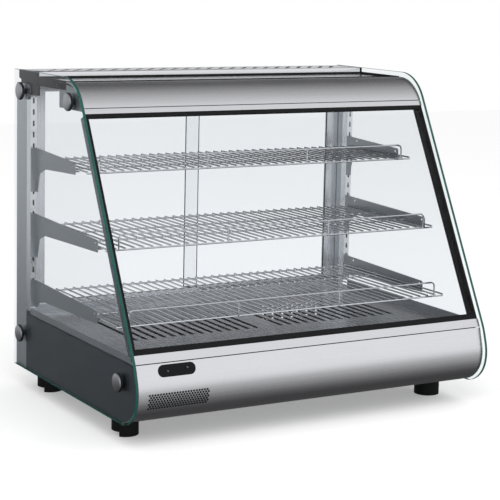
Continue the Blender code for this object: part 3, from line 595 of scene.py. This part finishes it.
def perforate_tree():
    """Cuts staggered rows of round holes through a sheet that faces the front."""
    tree = Tree("Perforate", [
        ("Geometry", "NodeSocketGeometry", None), ("Columns", "NodeSocketInt", 22),
        ("Rows", "NodeSocketInt", 7), ("Corner", "NodeSocketVector", None),
        ("Pitch", "NodeSocketFloat", 0.006), ("Row pitch", "NodeSocketFloat", 0.005),
        ("Diameter", "NodeSocketFloat", 0.0035), ("Material", "NodeSocketMaterial", None)])
    columns = tree.row(tree.given("Columns"), tree.vector(), tree.vector(x=tree.given("Pitch")))
    rows = tree.row(tree.given("Rows"), tree.given("Corner"), tree.vector(z=tree.given("Row pitch")))
    index = tree.add("GeometryNodeInputIndex")
    odd = tree.maths("MODULO", index.outputs[0], 2.0)
    shift = tree.maths("MULTIPLY", odd, tree.maths("MULTIPLY", tree.given("Pitch"), 0.5))
    staggered = tree.add("GeometryNodeSetPosition", links={"Geometry": rows, "Offset": tree.vector(x=shift)})
    grid = tree.add("GeometryNodeInstanceOnPoints", links={"Points": staggered.outputs[0], "Instance": columns})
    points = tree.add("GeometryNodeRealizeInstances", links={"Geometry": grid.outputs[0]})
    drill = tree.add("GeometryNodeMeshCylinder", {"Vertices": 12, "Depth": 0.03},
                     {"Radius": tree.maths("MULTIPLY", tree.given("Diameter"), 0.5)})
    copies = tree.add("GeometryNodeInstanceOnPoints", {"Rotation": (math.radians(90), 0, 0)},
                      {"Points": points.outputs[0], "Instance": drill.outputs["Mesh"]})
    real = tree.add("GeometryNodeRealizeInstances", links={"Geometry": copies.outputs[0]})
    return tree.end(tree.cut(tree.given("Geometry"), real.outputs[0]))


def wire_row_tree():
    """A row of straight round wires."""
    tree = Tree("Row of wires", [
        ("Count", "NodeSocketInt", 10), ("First", "NodeSocketVector", None), ("Step", "NodeSocketVector", None),
        ("Along", "NodeSocketVector", None), ("Diameter", "NodeSocketFloat", 0.003),
        ("Material", "NodeSocketMaterial", None)])
    row = tree.row(tree.given("Count"), tree.given("First"), tree.given("Step"))
    line = tree.add("GeometryNodeCurvePrimitiveLine", {"Start": (0, 0, 0)}, {"End": tree.given("Along")})
    outline = tree.add("GeometryNodeCurvePrimitiveCircle", {"Resolution": 10},
                       {"Radius": tree.maths("MULTIPLY", tree.given("Diameter"), 0.5)})
    wire = tree.add("GeometryNodeCurveToMesh", {"Fill Caps": True},
                    {"Curve": line.outputs[0], "Profile Curve": outline.outputs[0]})
    copies = tree.add("GeometryNodeInstanceOnPoints", links={"Points": row, "Instance": wire.outputs[0]})
    return tree.end(copies.outputs[0])


def screws_tree():
    """A cross-head screw, facing the back, at each point of a mesh."""
    tree = Tree("Screws", [("Geometry", "NodeSocketGeometry", None), ("Head", "NodeSocketFloat", 0.007),
                           ("Material", "NodeSocketMaterial", None)])
    radius = tree.maths("MULTIPLY", tree.given("Head"), 0.5)
    head = tree.add("GeometryNodeMeshCone", {"Vertices": 20, "Depth": SCREW_DEPTH},
                    {"Radius Bottom": radius, "Radius Top": tree.maths("MULTIPLY", radius, 0.7)})
    bars = []
    for along, across in (SCREW_CROSS, reversed(SCREW_CROSS)):
        bar = tree.add("GeometryNodeMeshCube", {"Size": (along, across, SCREW_DEPTH)})
        bars.append(tree.add("GeometryNodeTransform", {"Translation": (0, 0, SCREW_DEPTH)},
                             {"Geometry": bar.outputs["Mesh"]}).outputs[0])
    copies = tree.add("GeometryNodeInstanceOnPoints", {"Rotation": (math.radians(-90), 0, 0)},
                      {"Points": tree.given("Geometry"), "Instance": tree.cut(head.outputs["Mesh"], *bars)})
    return tree.end(copies.outputs[0])


def grow(obj, group, **values):
    """Runs a tree on an object, with its inputs set by name, and keeps the result as a plain mesh."""
    modifier = obj.modifiers.new(group.name, "NODES")
    modifier.node_group = group
    sockets = {item.name: item.identifier for item in group.interface.items_tree
               if item.item_type == "SOCKET" and item.in_out == "INPUT"}
    for label, value in values.items():
        modifier[sockets[label.replace("_", " ")]] = value
    return settle(obj)


def empty_mesh(name, points=((0, 0, 0),)):
    mesh = bpy.data.meshes.new(name)
    mesh.from_pydata([tuple(p) for p in points], [], [])
    return show(name, mesh)


# ---- pieces ----
def make_header():
    sizes = bpy.context.scene.case_sizes
    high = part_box("header_shell")[1]
    curve = arc(HEADER_CENTRE, HEADER_R, 90, ARC_END, 48)
    curve[-1] = (curve[-1][0] - SLANT_DOWN.y * SEAM, curve[-1][1] - SLANT_DOWN.z * SEAM)
    fold = (curve[-1][0] - OUTWARD.y * FOLD, curve[-1][1] - OUTWARD.z * FOLD)
    profile = [(high.y, HEADER_CENTRE[1] + HEADER_R), *curve, fold]
    skin = settle(swept_sheet("header_skin", profile, high.x, sizes.sheet))
    place_piece(finish_mesh(skin, ["brushed_header"]), CABINET, "brushed_header", "header_shell")


def make_fascia():
    sizes = bpy.context.scene.case_sizes
    low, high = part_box("base_fascia")
    skin = settle(swept_sheet("fascia_skin", smooth_path(FASCIA), high.x, sizes.sheet))
    window = round_slot(WINDOW_AT, WINDOW_HALF, WINDOW_R)
    skin = subtract(skin, slab("window_cutter", window, *WINDOW_CUT, "xz"))
    x, z = VENT_CORNER
    corner = (x, low.y + VENT_DRILL, z)
    skin = grow(skin, perforate_tree(), Columns=sizes.vent_columns, Rows=sizes.vent_rows, Corner=corner,
                Pitch=sizes.vent_pitch, Row_pitch=sizes.vent_row_pitch, Diameter=sizes.vent_hole,
                Material=FINISHES["brushed_fascia"])
    left, right = x - VENT_SIDE, x + sizes.vent_columns * sizes.vent_pitch + VENT_SIDE
    foot, crown = z - VENT_BELOW, z + sizes.vent_rows * sizes.vent_row_pitch
    # The walls of the vent holes get black plastic: painted shade for the dark inside the holes.
    finish_mesh(skin, ["brushed_fascia", "black_plastic"])
    for polygon in skin.data.polygons:
        at = polygon.center
        painted_shade_wall = left < at.x < right and foot < at.z < crown and abs(polygon.normal.y) < 0.3
        polygon.material_index = 1 if painted_shade_wall else 0
    place_piece(skin, CABINET, "brushed_fascia", "base_fascia")
    # A black sheet behind the vent holes: painted shade, standing for the dark inside of the base seen through
    # them.
    shade_sheet = slab("vent_shade_sheet", rectangle(left, foot, right, crown + VENT_ABOVE), *VENT_SHADE_SHEET, "xz")
    shade_sheet = bevel(shade_sheet, width=0.0003, segments=1)
    place_piece(finish_mesh(shade_sheet, ["black_plastic"]), CABINET, "black_plastic")

    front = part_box("indicator_window")[0].y - DOT_PROUD
    dots = [slab(f"dot_{i}", circle(at, DOT_R), front, DOT_BACK, "xz") for i, at in enumerate(LIGHT_DOTS)]
    for dot in dots:
        finish_mesh(dot, ["lamp_dot"])
    place_piece(join_meshes("indicator_lights", dots), CABINET, "smoked_plastic")


def make_beam():
    sizes = bpy.context.scene.case_sizes
    low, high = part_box("top_beam")
    wall = sizes.sheet
    loop = [(low.y, low.z), (low.y, high.z), (high.y, high.z), (high.y, low.z), (high.y - wall, low.z),
            (high.y - wall, high.z - wall), (low.y + wall, high.z - wall), (low.y + wall, low.z)]
    beam = bevel(slab("beam_skin", loop, low.x, high.x, "yz"), width=0.0007)
    slot_length, slot_width = BEAM_SLOT
    first = Vector((-(sizes.beam_slots - 1) / 2 * sizes.beam_pitch, (low.y + high.y) / 2, high.z))
    beam = grow(beam, cut_slots_tree(), Count=sizes.beam_slots, First=first, Pitch=sizes.beam_pitch,
                Length=slot_length, Width=slot_width, Turn=sizes.beam_turn, Material=FINISHES["brushed_top"])
    place_piece(finish_mesh(beam, ["brushed_top"]), CABINET, "brushed_top", "top_beam")


def make_front_seal():
    """The front pane's seal: a copy of its node's mesh, welded, with satin outer sides."""
    seal = show("pane_seal", frame["nodes"]["front_seal"].data.copy())
    weld = seal.modifiers.new("weld", "WELD")
    weld.merge_threshold = 0.00002
    seal = settle(seal)
    finish_mesh(seal, ["seal_rubber", "seal_side"], 25)
    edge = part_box("front_seal")[1].x - 0.001
    for polygon in seal.data.polygons:
        outer = abs(polygon.center.x) > edge and abs(polygon.normal.x) > 0.9
        polygon.material_index = 1 if outer else 0
    place_piece(seal, CABINET, "seal_rubber", "front_seal")


def make_top_seal():
    """The black bead round the top panel. It stands a little proud of the header and of the beam's foot."""
    low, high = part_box("top_frame")
    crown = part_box("header_shell")[1].z + SEAL_PROUD
    outer = rectangle(low.x, low.y, high.x, high.y)
    inner = rectangle(low.x + SEAL_BEAD, low.y + SEAL_BEAD, high.x - SEAL_BEAD, high.y - SEAL_BEAD)
    opening = slab("opening", inner, low.z - OVERCUT, crown + OVERCUT, "xy")
    bead = bevel(subtract(slab("top_seal", outer, low.z, crown, "xy"), opening), width=0.0012, segments=3)
    place_piece(finish_mesh(bead, ["seal_rubber"]), CABINET, "seal_rubber", "top_frame")


def make_deck():
    sizes = bpy.context.scene.case_sizes
    low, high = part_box("deck")
    edge = high.x
    loop = [(-edge, low.y), (edge, low.y), (edge, DECK_STEP), (DECK_INSIDE, DECK_STEP), (DECK_INSIDE, high.y),
            (-DECK_INSIDE, high.y), (-DECK_INSIDE, DECK_STEP), (-edge, DECK_STEP)]
    deck = slab("deck_plate", loop, DECK_TOP - sizes.sheet, DECK_TOP, "xy")
    tree = cut_slots_tree()
    slot_length, slot_width = DECK_SLOT
    nearest, y = DECK_SLOT_AT
    for side in SIDES.values():
        furthest = nearest + (sizes.deck_slots - 1) * sizes.deck_pitch
        first = Vector((nearest if side > 0 else -furthest, y, DECK_TOP))
        deck = grow(deck, tree, Count=sizes.deck_slots, First=first, Pitch=sizes.deck_pitch,
                    Length=slot_length, Width=slot_width, Turn=0.0, Material=FINISHES["deck_metal"])
    pieces = [finish_mesh(deck, ["deck_metal"])]
    for side in SIDES.values():
        near, far = sorted((side * (edge - sizes.sheet), side * edge))
        loop = rectangle(near, low.y + LIP_SETBACK, far, DECK_STEP)
        lip = slab("lip", loop, DECK_TOP - LIP_LAP, high.z, "xy")
        pieces.append(finish_mesh(lip, ["bracket_metal"]))
    place_piece(join_meshes("deck_sheet", pieces), CABINET, "deck_metal", "deck")


def paint_pane(obj, face, edge, axis):
    """Face material on a pane's broad sides and where its rim faces the back, and edge material on the rest."""
    finish_mesh(obj, [face, edge])
    for polygon in obj.data.polygons:
        broad = abs(polygon.normal[axis]) > 0.9
        polygon.material_index = 0 if broad or polygon.normal.y > 0.7 else 1
    return obj


def make_side_glass():
    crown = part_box("side_glass_left")[1].z
    knee = SLANT_BOTTOM + OUTWARD * GLASS_PROUD
    foot = smooth_path([(knee.y + KNEE_START[0], knee.z + KNEE_START[1]), *GLASS_FOOT])
    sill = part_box("base_side_left")[0].z
    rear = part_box("post_left")[1].y
    foot = [(y, z) for y, z in foot if z > sill] + [(GLASS_FOOT[-1][0], sill)]
    loop = [(rear, crown), *arc(NOSE_CENTRE, NOSE_R, 90, ARC_END, 40), *foot, (rear, sill)]
    for tag in SIDES:
        low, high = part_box(f"side_glass_{tag}")
        pane = slab(f"side_pane_{tag}", loop, low.x, high.x, "yz")
        for at in CAPS.values():
            drill = slab("drill", circle(at, CAP_HOLE_R), low.x - OVERCUT, high.x + OVERCUT, "yz")
            pane = subtract(pane, drill)
        pane = bevel(pane, width=0.0005, segments=1, angle=60)
        paint_pane(pane, "side_glass", "glass_edge", 0)
        place_piece(pane, CABINET, "side_glass", f"side_glass_{tag}")


def make_door_glass():
    for tag in SIDES:
        low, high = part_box(f"door_glass_{tag}")
        pane = slab(f"door_pane_{tag}", rectangle(low.x, low.z, high.x, high.z), low.y, high.y, "xz")
        pane = bevel(pane, width=0.0004, segments=1)
        paint_pane(pane, "door_glass", "glass_edge", 1)
        place_piece(pane, f"door_{tag}", "door_glass", f"door_glass_{tag}")


def make_shelves():
    sizes = bpy.context.scene.case_sizes
    tree = wire_row_tree()
    chrome = FINISHES["chrome_wire"]
    wire = sizes.wire
    for shelf, (front, top) in SHELVES.items():
        long_z, cross_z = top - wire / 2, top - 1.5 * wire + WIRE_SINK
        step = 2 * SHELF_HALF / (sizes.long_wires - 1)
        grid = grow(empty_mesh("grid"), tree, Count=sizes.long_wires, First=(-SHELF_HALF, front, long_z),
                    Step=(step, 0, 0), Along=(0, SHELF_REAR - front, 0), Diameter=wire, Material=chrome)
        reach = SHELF_HALF + wire / 2
        rows = (SHELF_REAR - front - wire) / (sizes.cross_wires - 1)
        cross = grow(empty_mesh("cross"), tree, Count=sizes.cross_wires,
                     First=(-reach, front + wire / 2, cross_z), Step=(0, rows, 0), Along=(2 * reach, 0, 0),
                     Diameter=wire, Material=chrome)
        y = front - wire / 2 + WIRE_SINK
        rail_z = top + RAIL_RISE - wire / 2
        posts = grow(empty_mesh("posts"), tree, Count=2, First=(-RAIL_POST, y, cross_z),
                     Step=(2 * RAIL_POST, 0, 0), Along=(0, 0, rail_z - cross_z), Diameter=wire, Material=chrome)
        rail = bent_wire("rail", y, cross_z, rail_z, wire)
        parts = [finish_mesh(piece, ["chrome_wire"]) for piece in (grid, cross, posts, rail)]
        joined = join_meshes(f"wire_shelf_{shelf}", parts)
        place_piece(joined, f"{shelf}_shelf", "chrome_wire", f"shelf_{shelf}")


def bent_wire(name, y, foot, top, wire):
    """The guard rail: one wire up, across with round corners, and down."""
    corner = arc((RAIL_HALF - RAIL_BEND, top - RAIL_BEND), RAIL_BEND, 90, 0, 8)
    right = [*corner, (RAIL_HALF, foot)]
    path = [(-x, z) for x, z in reversed(right)] + right
    curve = bpy.data.curves.new(name, "CURVE")
    curve.dimensions = "3D"
    curve.bevel_depth = wire / 2
    curve.bevel_resolution = 3
    curve.use_fill_caps = True
    spline = curve.splines.new("POLY")
    spline.points.add(len(path) - 1)
    for point, (x, z) in zip(spline.points, path):
        point.co = (x, y, z, 1)
    return settle(show(name, curve))


def make_caps():
    """Turned caps with a chamfered face and a finely ribbed rim, whose near-black colour is painted shade."""
    steps = 2 * bpy.context.scene.case_sizes.ribs
    for tag, side in SIDES.items():
        for where, (y, z) in CAPS.items():
            node = f"glass_cap_{where}_{tag}"
            low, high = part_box(node)
            outer, radius = max(abs(low.x), abs(high.x)), (high.y - low.y) / 2
            profile = [(radius - inward, outer - back) for inward, back in CAP_FACE_EDGE]
            profile += [(radius - inward, CAP_INNER + out) for inward, out in CAP_REAR_EDGE]
            bm = bmesh.new()
            rings = []
            for r, x in profile:
                ring = []
                for k in range(steps):
                    turn = 2 * math.pi * k / steps
                    reach = r - (RIB_DEPTH if r == radius and k % 2 else 0.0)
                    at = (side * x, y + reach * math.cos(turn), z + reach * math.sin(turn))
                    ring.append(bm.verts.new(at))
                rings.append(ring)
            for a, b in zip(rings, rings[1:]):
                for k in range(steps):
                    bm.faces.new((a[k], a[(k + 1) % steps], b[(k + 1) % steps], b[k]))
            bm.faces.new(rings[0])
            bm.faces.new(rings[-1])
            bmesh.ops.recalc_face_normals(bm, faces=bm.faces)
            cap = finish_mesh(show_bmesh(f"cap_{where}_{tag}", bm), ["cap_metal", "cap_rim_painted_shade"], 30)
            # the rim band gets the near-black material: painted shade
            for polygon in cap.data.polygons:
                across = Vector((0, polygon.center.y - y, polygon.center.z - z)).length
                shaded_rim = abs(polygon.normal.x) < 0.5 and across > radius - CAP_SHADED_RIM
                polygon.material_index = 1 if shaded_rim else 0
            place_piece(cap, CABINET, "cap_metal", node)


def make_feet():
    for where, y in FEET.items():
        for tag, side in SIDES.items():
            node = f"foot_{where}_{tag}"
            low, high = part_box(node)
            x, radius = side * FOOT_X, (high.y - low.y) / 2
            foot = slab(f"rubber_{where}_{tag}", circle((x, y), radius, 60), low.z, high.z, "xy")
            out, rise = FOOT_STEP
            turn = Matrix.Rotation(side * FOOT_STEP_TURN, 2)
            loop = [tuple(Vector((x, y)) + turn @ Vector((side * u, v)))
                    for u, v in rectangle(out, -FOOT_STEP_REACH, FOOT_STEP_REACH, FOOT_STEP_REACH)]
            foot = subtract(foot, slab("step", loop, -OVERCUT, rise, "xy"))
            foot = bevel(foot, width=0.0012, segments=2, angle=60)
            place_piece(finish_mesh(foot, ["foot_rubber"], 50), CABINET, "foot_rubber", node)


def make_screws():
    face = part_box("rear_panel")[1].y + SCREW_PROUD
    spots = [(x, face, z) for x in SCREW_X for z in SCREW_Z]
    head = bpy.context.scene.case_sizes.screw_head
    screws = grow(empty_mesh("rear_screws", spots), screws_tree(), Head=head, Material=FINISHES["rear_metal"])
    if not screws.data.polygons:
        raise RuntimeError("the rear panel's screws came out empty")
    place_piece(finish_mesh(screws, ["rear_metal"]), CABINET, "rear_metal")


# nodes whose finish differs from that of their slot
FINISH_OF = (("header_end", "end_plate"), ("upright", "polished_steel"))


def dress_nodes():
    """Gives every carried-over node its own finish from the record's slots."""
    slots = {row["node"]: row["material_slot"] for row in frame["record"]["subparts"]}
    for name, node in frame["nodes"].items():
        if node.hide_render:
            continue
        wanted = next((finish for start, finish in FINISH_OF if name.startswith(start)), slots[name])
        if node.material_slots:
            for slot in node.material_slots:
                slot.material = FINISHES[wanted]
        else:
            node.data.materials.append(FINISHES[wanted])


# ---- stage ----
def make_camera():
    camera = show("camera", bpy.data.cameras.new("camera"))
    forward = CAMERA_FORWARD.normalized()
    right = CAMERA_RIGHT.normalized()
    up = right.cross(forward)
    turn = Matrix((right, up, -forward)).transposed().to_4x4()
    camera.matrix_world = Matrix.Translation(CAMERA_AT) @ turn
    camera.data.lens = LENS
    camera.data.sensor_width = SENSOR
    camera.data.shift_x, camera.data.shift_y = CAMERA_SHIFT
    camera.data.clip_end = 100
    bpy.context.scene.camera = camera


def make_world():
    """A white room for eyes and soft light, whose mirror image in metal is graded like a light tent."""
    world = bpy.data.worlds.new("tent")
    bpy.context.scene.world = world
    world.use_nodes = True
    tree = world.node_tree
    background = tree.nodes["Background"]
    direction = tree.nodes.new("ShaderNodeTexCoord").outputs["Generated"]
    axes = tree.nodes.new("ShaderNodeSeparateXYZ")
    tree.links.new(direction, axes.inputs[0])
    angle = tree.nodes.new("ShaderNodeMath")
    angle.operation = "ARCTAN2"
    tree.links.new(axes.outputs["Z"], angle.inputs[0])
    tree.links.new(axes.outputs["Y"], angle.inputs[1])
    share = tree.nodes.new("ShaderNodeMapRange")
    share.inputs["From Min"].default_value = -math.pi
    share.inputs["From Max"].default_value = math.pi
    tree.links.new(angle.outputs[0], share.inputs["Value"])
    ramp = tree.nodes.new("ShaderNodeValToRGB")
    stops = ramp.color_ramp.elements
    while len(stops) < len(ROOM):
        stops.new(0.5)
    for stop, (degrees, value) in zip(stops, ROOM):
        stop.position = (degrees + 180) / 360
        stop.color = (*[value * tint for tint in ROOM_TINT], 1)
    tree.links.new(share.outputs["Result"], ramp.inputs["Fac"])
    path = tree.nodes.new("ShaderNodeLightPath")
    mix = tree.nodes.new("ShaderNodeMix")
    mix.data_type = "RGBA"
    mix.inputs["A"].default_value = (1, 1, 1, 1)
    tree.links.new(path.outputs["Is Glossy Ray"], mix.inputs["Factor"])
    tree.links.new(ramp.outputs["Color"], mix.inputs["B"])
    tree.links.new(mix.outputs["Result"], background.inputs["Color"])


def make_floor():
    square = rectangle(-FLOOR_HALF, -FLOOR_HALF, FLOOR_HALF, FLOOR_HALF)
    floor = slab("floor", square, -FLOOR_DEPTH, 0.0, "xy")
    white = bpy.data.materials.new("floor_white")
    white.use_nodes = True
    inputs = white.node_tree.nodes["Principled BSDF"].inputs
    inputs["Base Color"].default_value = (FLOOR_SHADE, FLOOR_SHADE, FLOOR_SHADE, 1)
    inputs["Roughness"].default_value = 0.9
    inputs["Emission Color"].default_value = (1, 1, 1, 1)
    inputs["Emission Strength"].default_value = FLOOR_GLOW
    floor.data.materials.append(white)
    floor.visible_glossy = False


def make_lights():
    for name, (place, power) in LIGHTS.items():
        light = bpy.data.lights.new(name, "AREA")
        light.shape = "SQUARE"
        light.size = LIGHT_SIZE
        light.energy = power
        lamp = show(name, light)
        lamp.location = place
        lamp.rotation_euler = (LIGHT_AIM - Vector(place)).to_track_quat("-Z", "Y").to_euler()
        lamp.visible_glossy = False
        lamp.visible_camera = False


# ---- operators ----
class CASE_OT_stage(bpy.types.Operator):
    """Makes the camera, the floor and the soft light"""
    bl_idname = "case.stage"
    bl_label = "Stage"
    bl_options = {"REGISTER", "UNDO"}

    def execute(self, context):
        make_camera()
        make_world()
        make_floor()
        make_lights()
        return {"FINISHED"}


class CASE_OT_skins(bpy.types.Operator):
    """Makes the curved header, the fascia with its vent, and the slotted beam"""
    bl_idname = "case.skins"
    bl_label = "Sheet metal"
    bl_options = {"REGISTER", "UNDO"}

    def execute(self, context):
        make_header()
        make_fascia()
        make_beam()
        make_top_seal()
        make_front_seal()
        return {"FINISHED"}


class CASE_OT_deck(bpy.types.Operator):
    """Makes the slotted deck"""
    bl_idname = "case.deck"
    bl_label = "Deck"
    bl_options = {"REGISTER", "UNDO"}

    def execute(self, context):
        make_deck()
        return {"FINISHED"}


class CASE_OT_glass(bpy.types.Operator):
    """Makes the side panes and the sliding door panes"""
    bl_idname = "case.glass"
    bl_label = "Glass"
    bl_options = {"REGISTER", "UNDO"}

    def execute(self, context):
        make_side_glass()
        make_door_glass()
        return {"FINISHED"}


class CASE_OT_shelves(bpy.types.Operator):
    """Makes the three wire shelves"""
    bl_idname = "case.shelves"
    bl_label = "Shelves"
    bl_options = {"REGISTER", "UNDO"}

    def execute(self, context):
        make_shelves()
        return {"FINISHED"}


class CASE_OT_caps(bpy.types.Operator):
    """Makes the turned caps that hold the side glass"""
    bl_idname = "case.caps"
    bl_label = "Glass caps"
    bl_options = {"REGISTER", "UNDO"}

    def execute(self, context):
        make_caps()
        return {"FINISHED"}


class CASE_OT_feet(bpy.types.Operator):
    """Makes the rubber feet"""
    bl_idname = "case.feet"
    bl_label = "Feet"
    bl_options = {"REGISTER", "UNDO"}

    def execute(self, context):
        make_feet()
        return {"FINISHED"}


class CASE_OT_screws(bpy.types.Operator):
    """Makes the screws of the rear panel"""
    bl_idname = "case.screws"
    bl_label = "Screws"
    bl_options = {"REGISTER", "UNDO"}

    def execute(self, context):
        make_screws()
        return {"FINISHED"}


class CASE_OT_dress(bpy.types.Operator):
    """Gives every other part its finish"""
    bl_idname = "case.dress"
    bl_label = "Finishes"
    bl_options = {"REGISTER", "UNDO"}

    def execute(self, context):
        dress_nodes()
        return {"FINISHED"}


OPERATORS = [CASE_OT_stage, CASE_OT_skins, CASE_OT_deck, CASE_OT_glass, CASE_OT_shelves,
             CASE_OT_caps, CASE_OT_feet, CASE_OT_screws, CASE_OT_dress]


class CASE_PT_panel(bpy.types.Panel):
    """Lists the case's operators and sizes."""
    bl_idname = "CASE_PT_panel"
    bl_label = "Display Case"
    bl_space_type = "VIEW_3D"
    bl_region_type = "UI"
    bl_category = "Display Case"

    def draw(self, context):
        for operator in OPERATORS:
            self.layout.operator(operator.bl_idname)
        for group in (context.scene.case_sizes, context.scene.case_finish):
            box = self.layout.box()
            for name in group.__annotations__:
                box.prop(group, name)


CLASSES = [CaseSizes, CaseFinish, *OPERATORS, CASE_PT_panel]


def register():
    for entry in CLASSES:
        bpy.utils.register_class(entry)
    bpy.types.Scene.case_sizes = PointerProperty(type=CaseSizes)
    bpy.types.Scene.case_finish = PointerProperty(type=CaseFinish)


def unregister():
    del bpy.types.Scene.case_finish
    del bpy.types.Scene.case_sizes
    for entry in reversed(CLASSES):
        bpy.utils.unregister_class(entry)


def main():
    register()
    make_materials()
    for operator in OPERATORS:
        getattr(bpy.ops.case, operator.bl_idname.split(".")[1])()
    bpy.context.scene.view_settings.view_transform = "Standard"


if __name__ == "__main__":
    main()
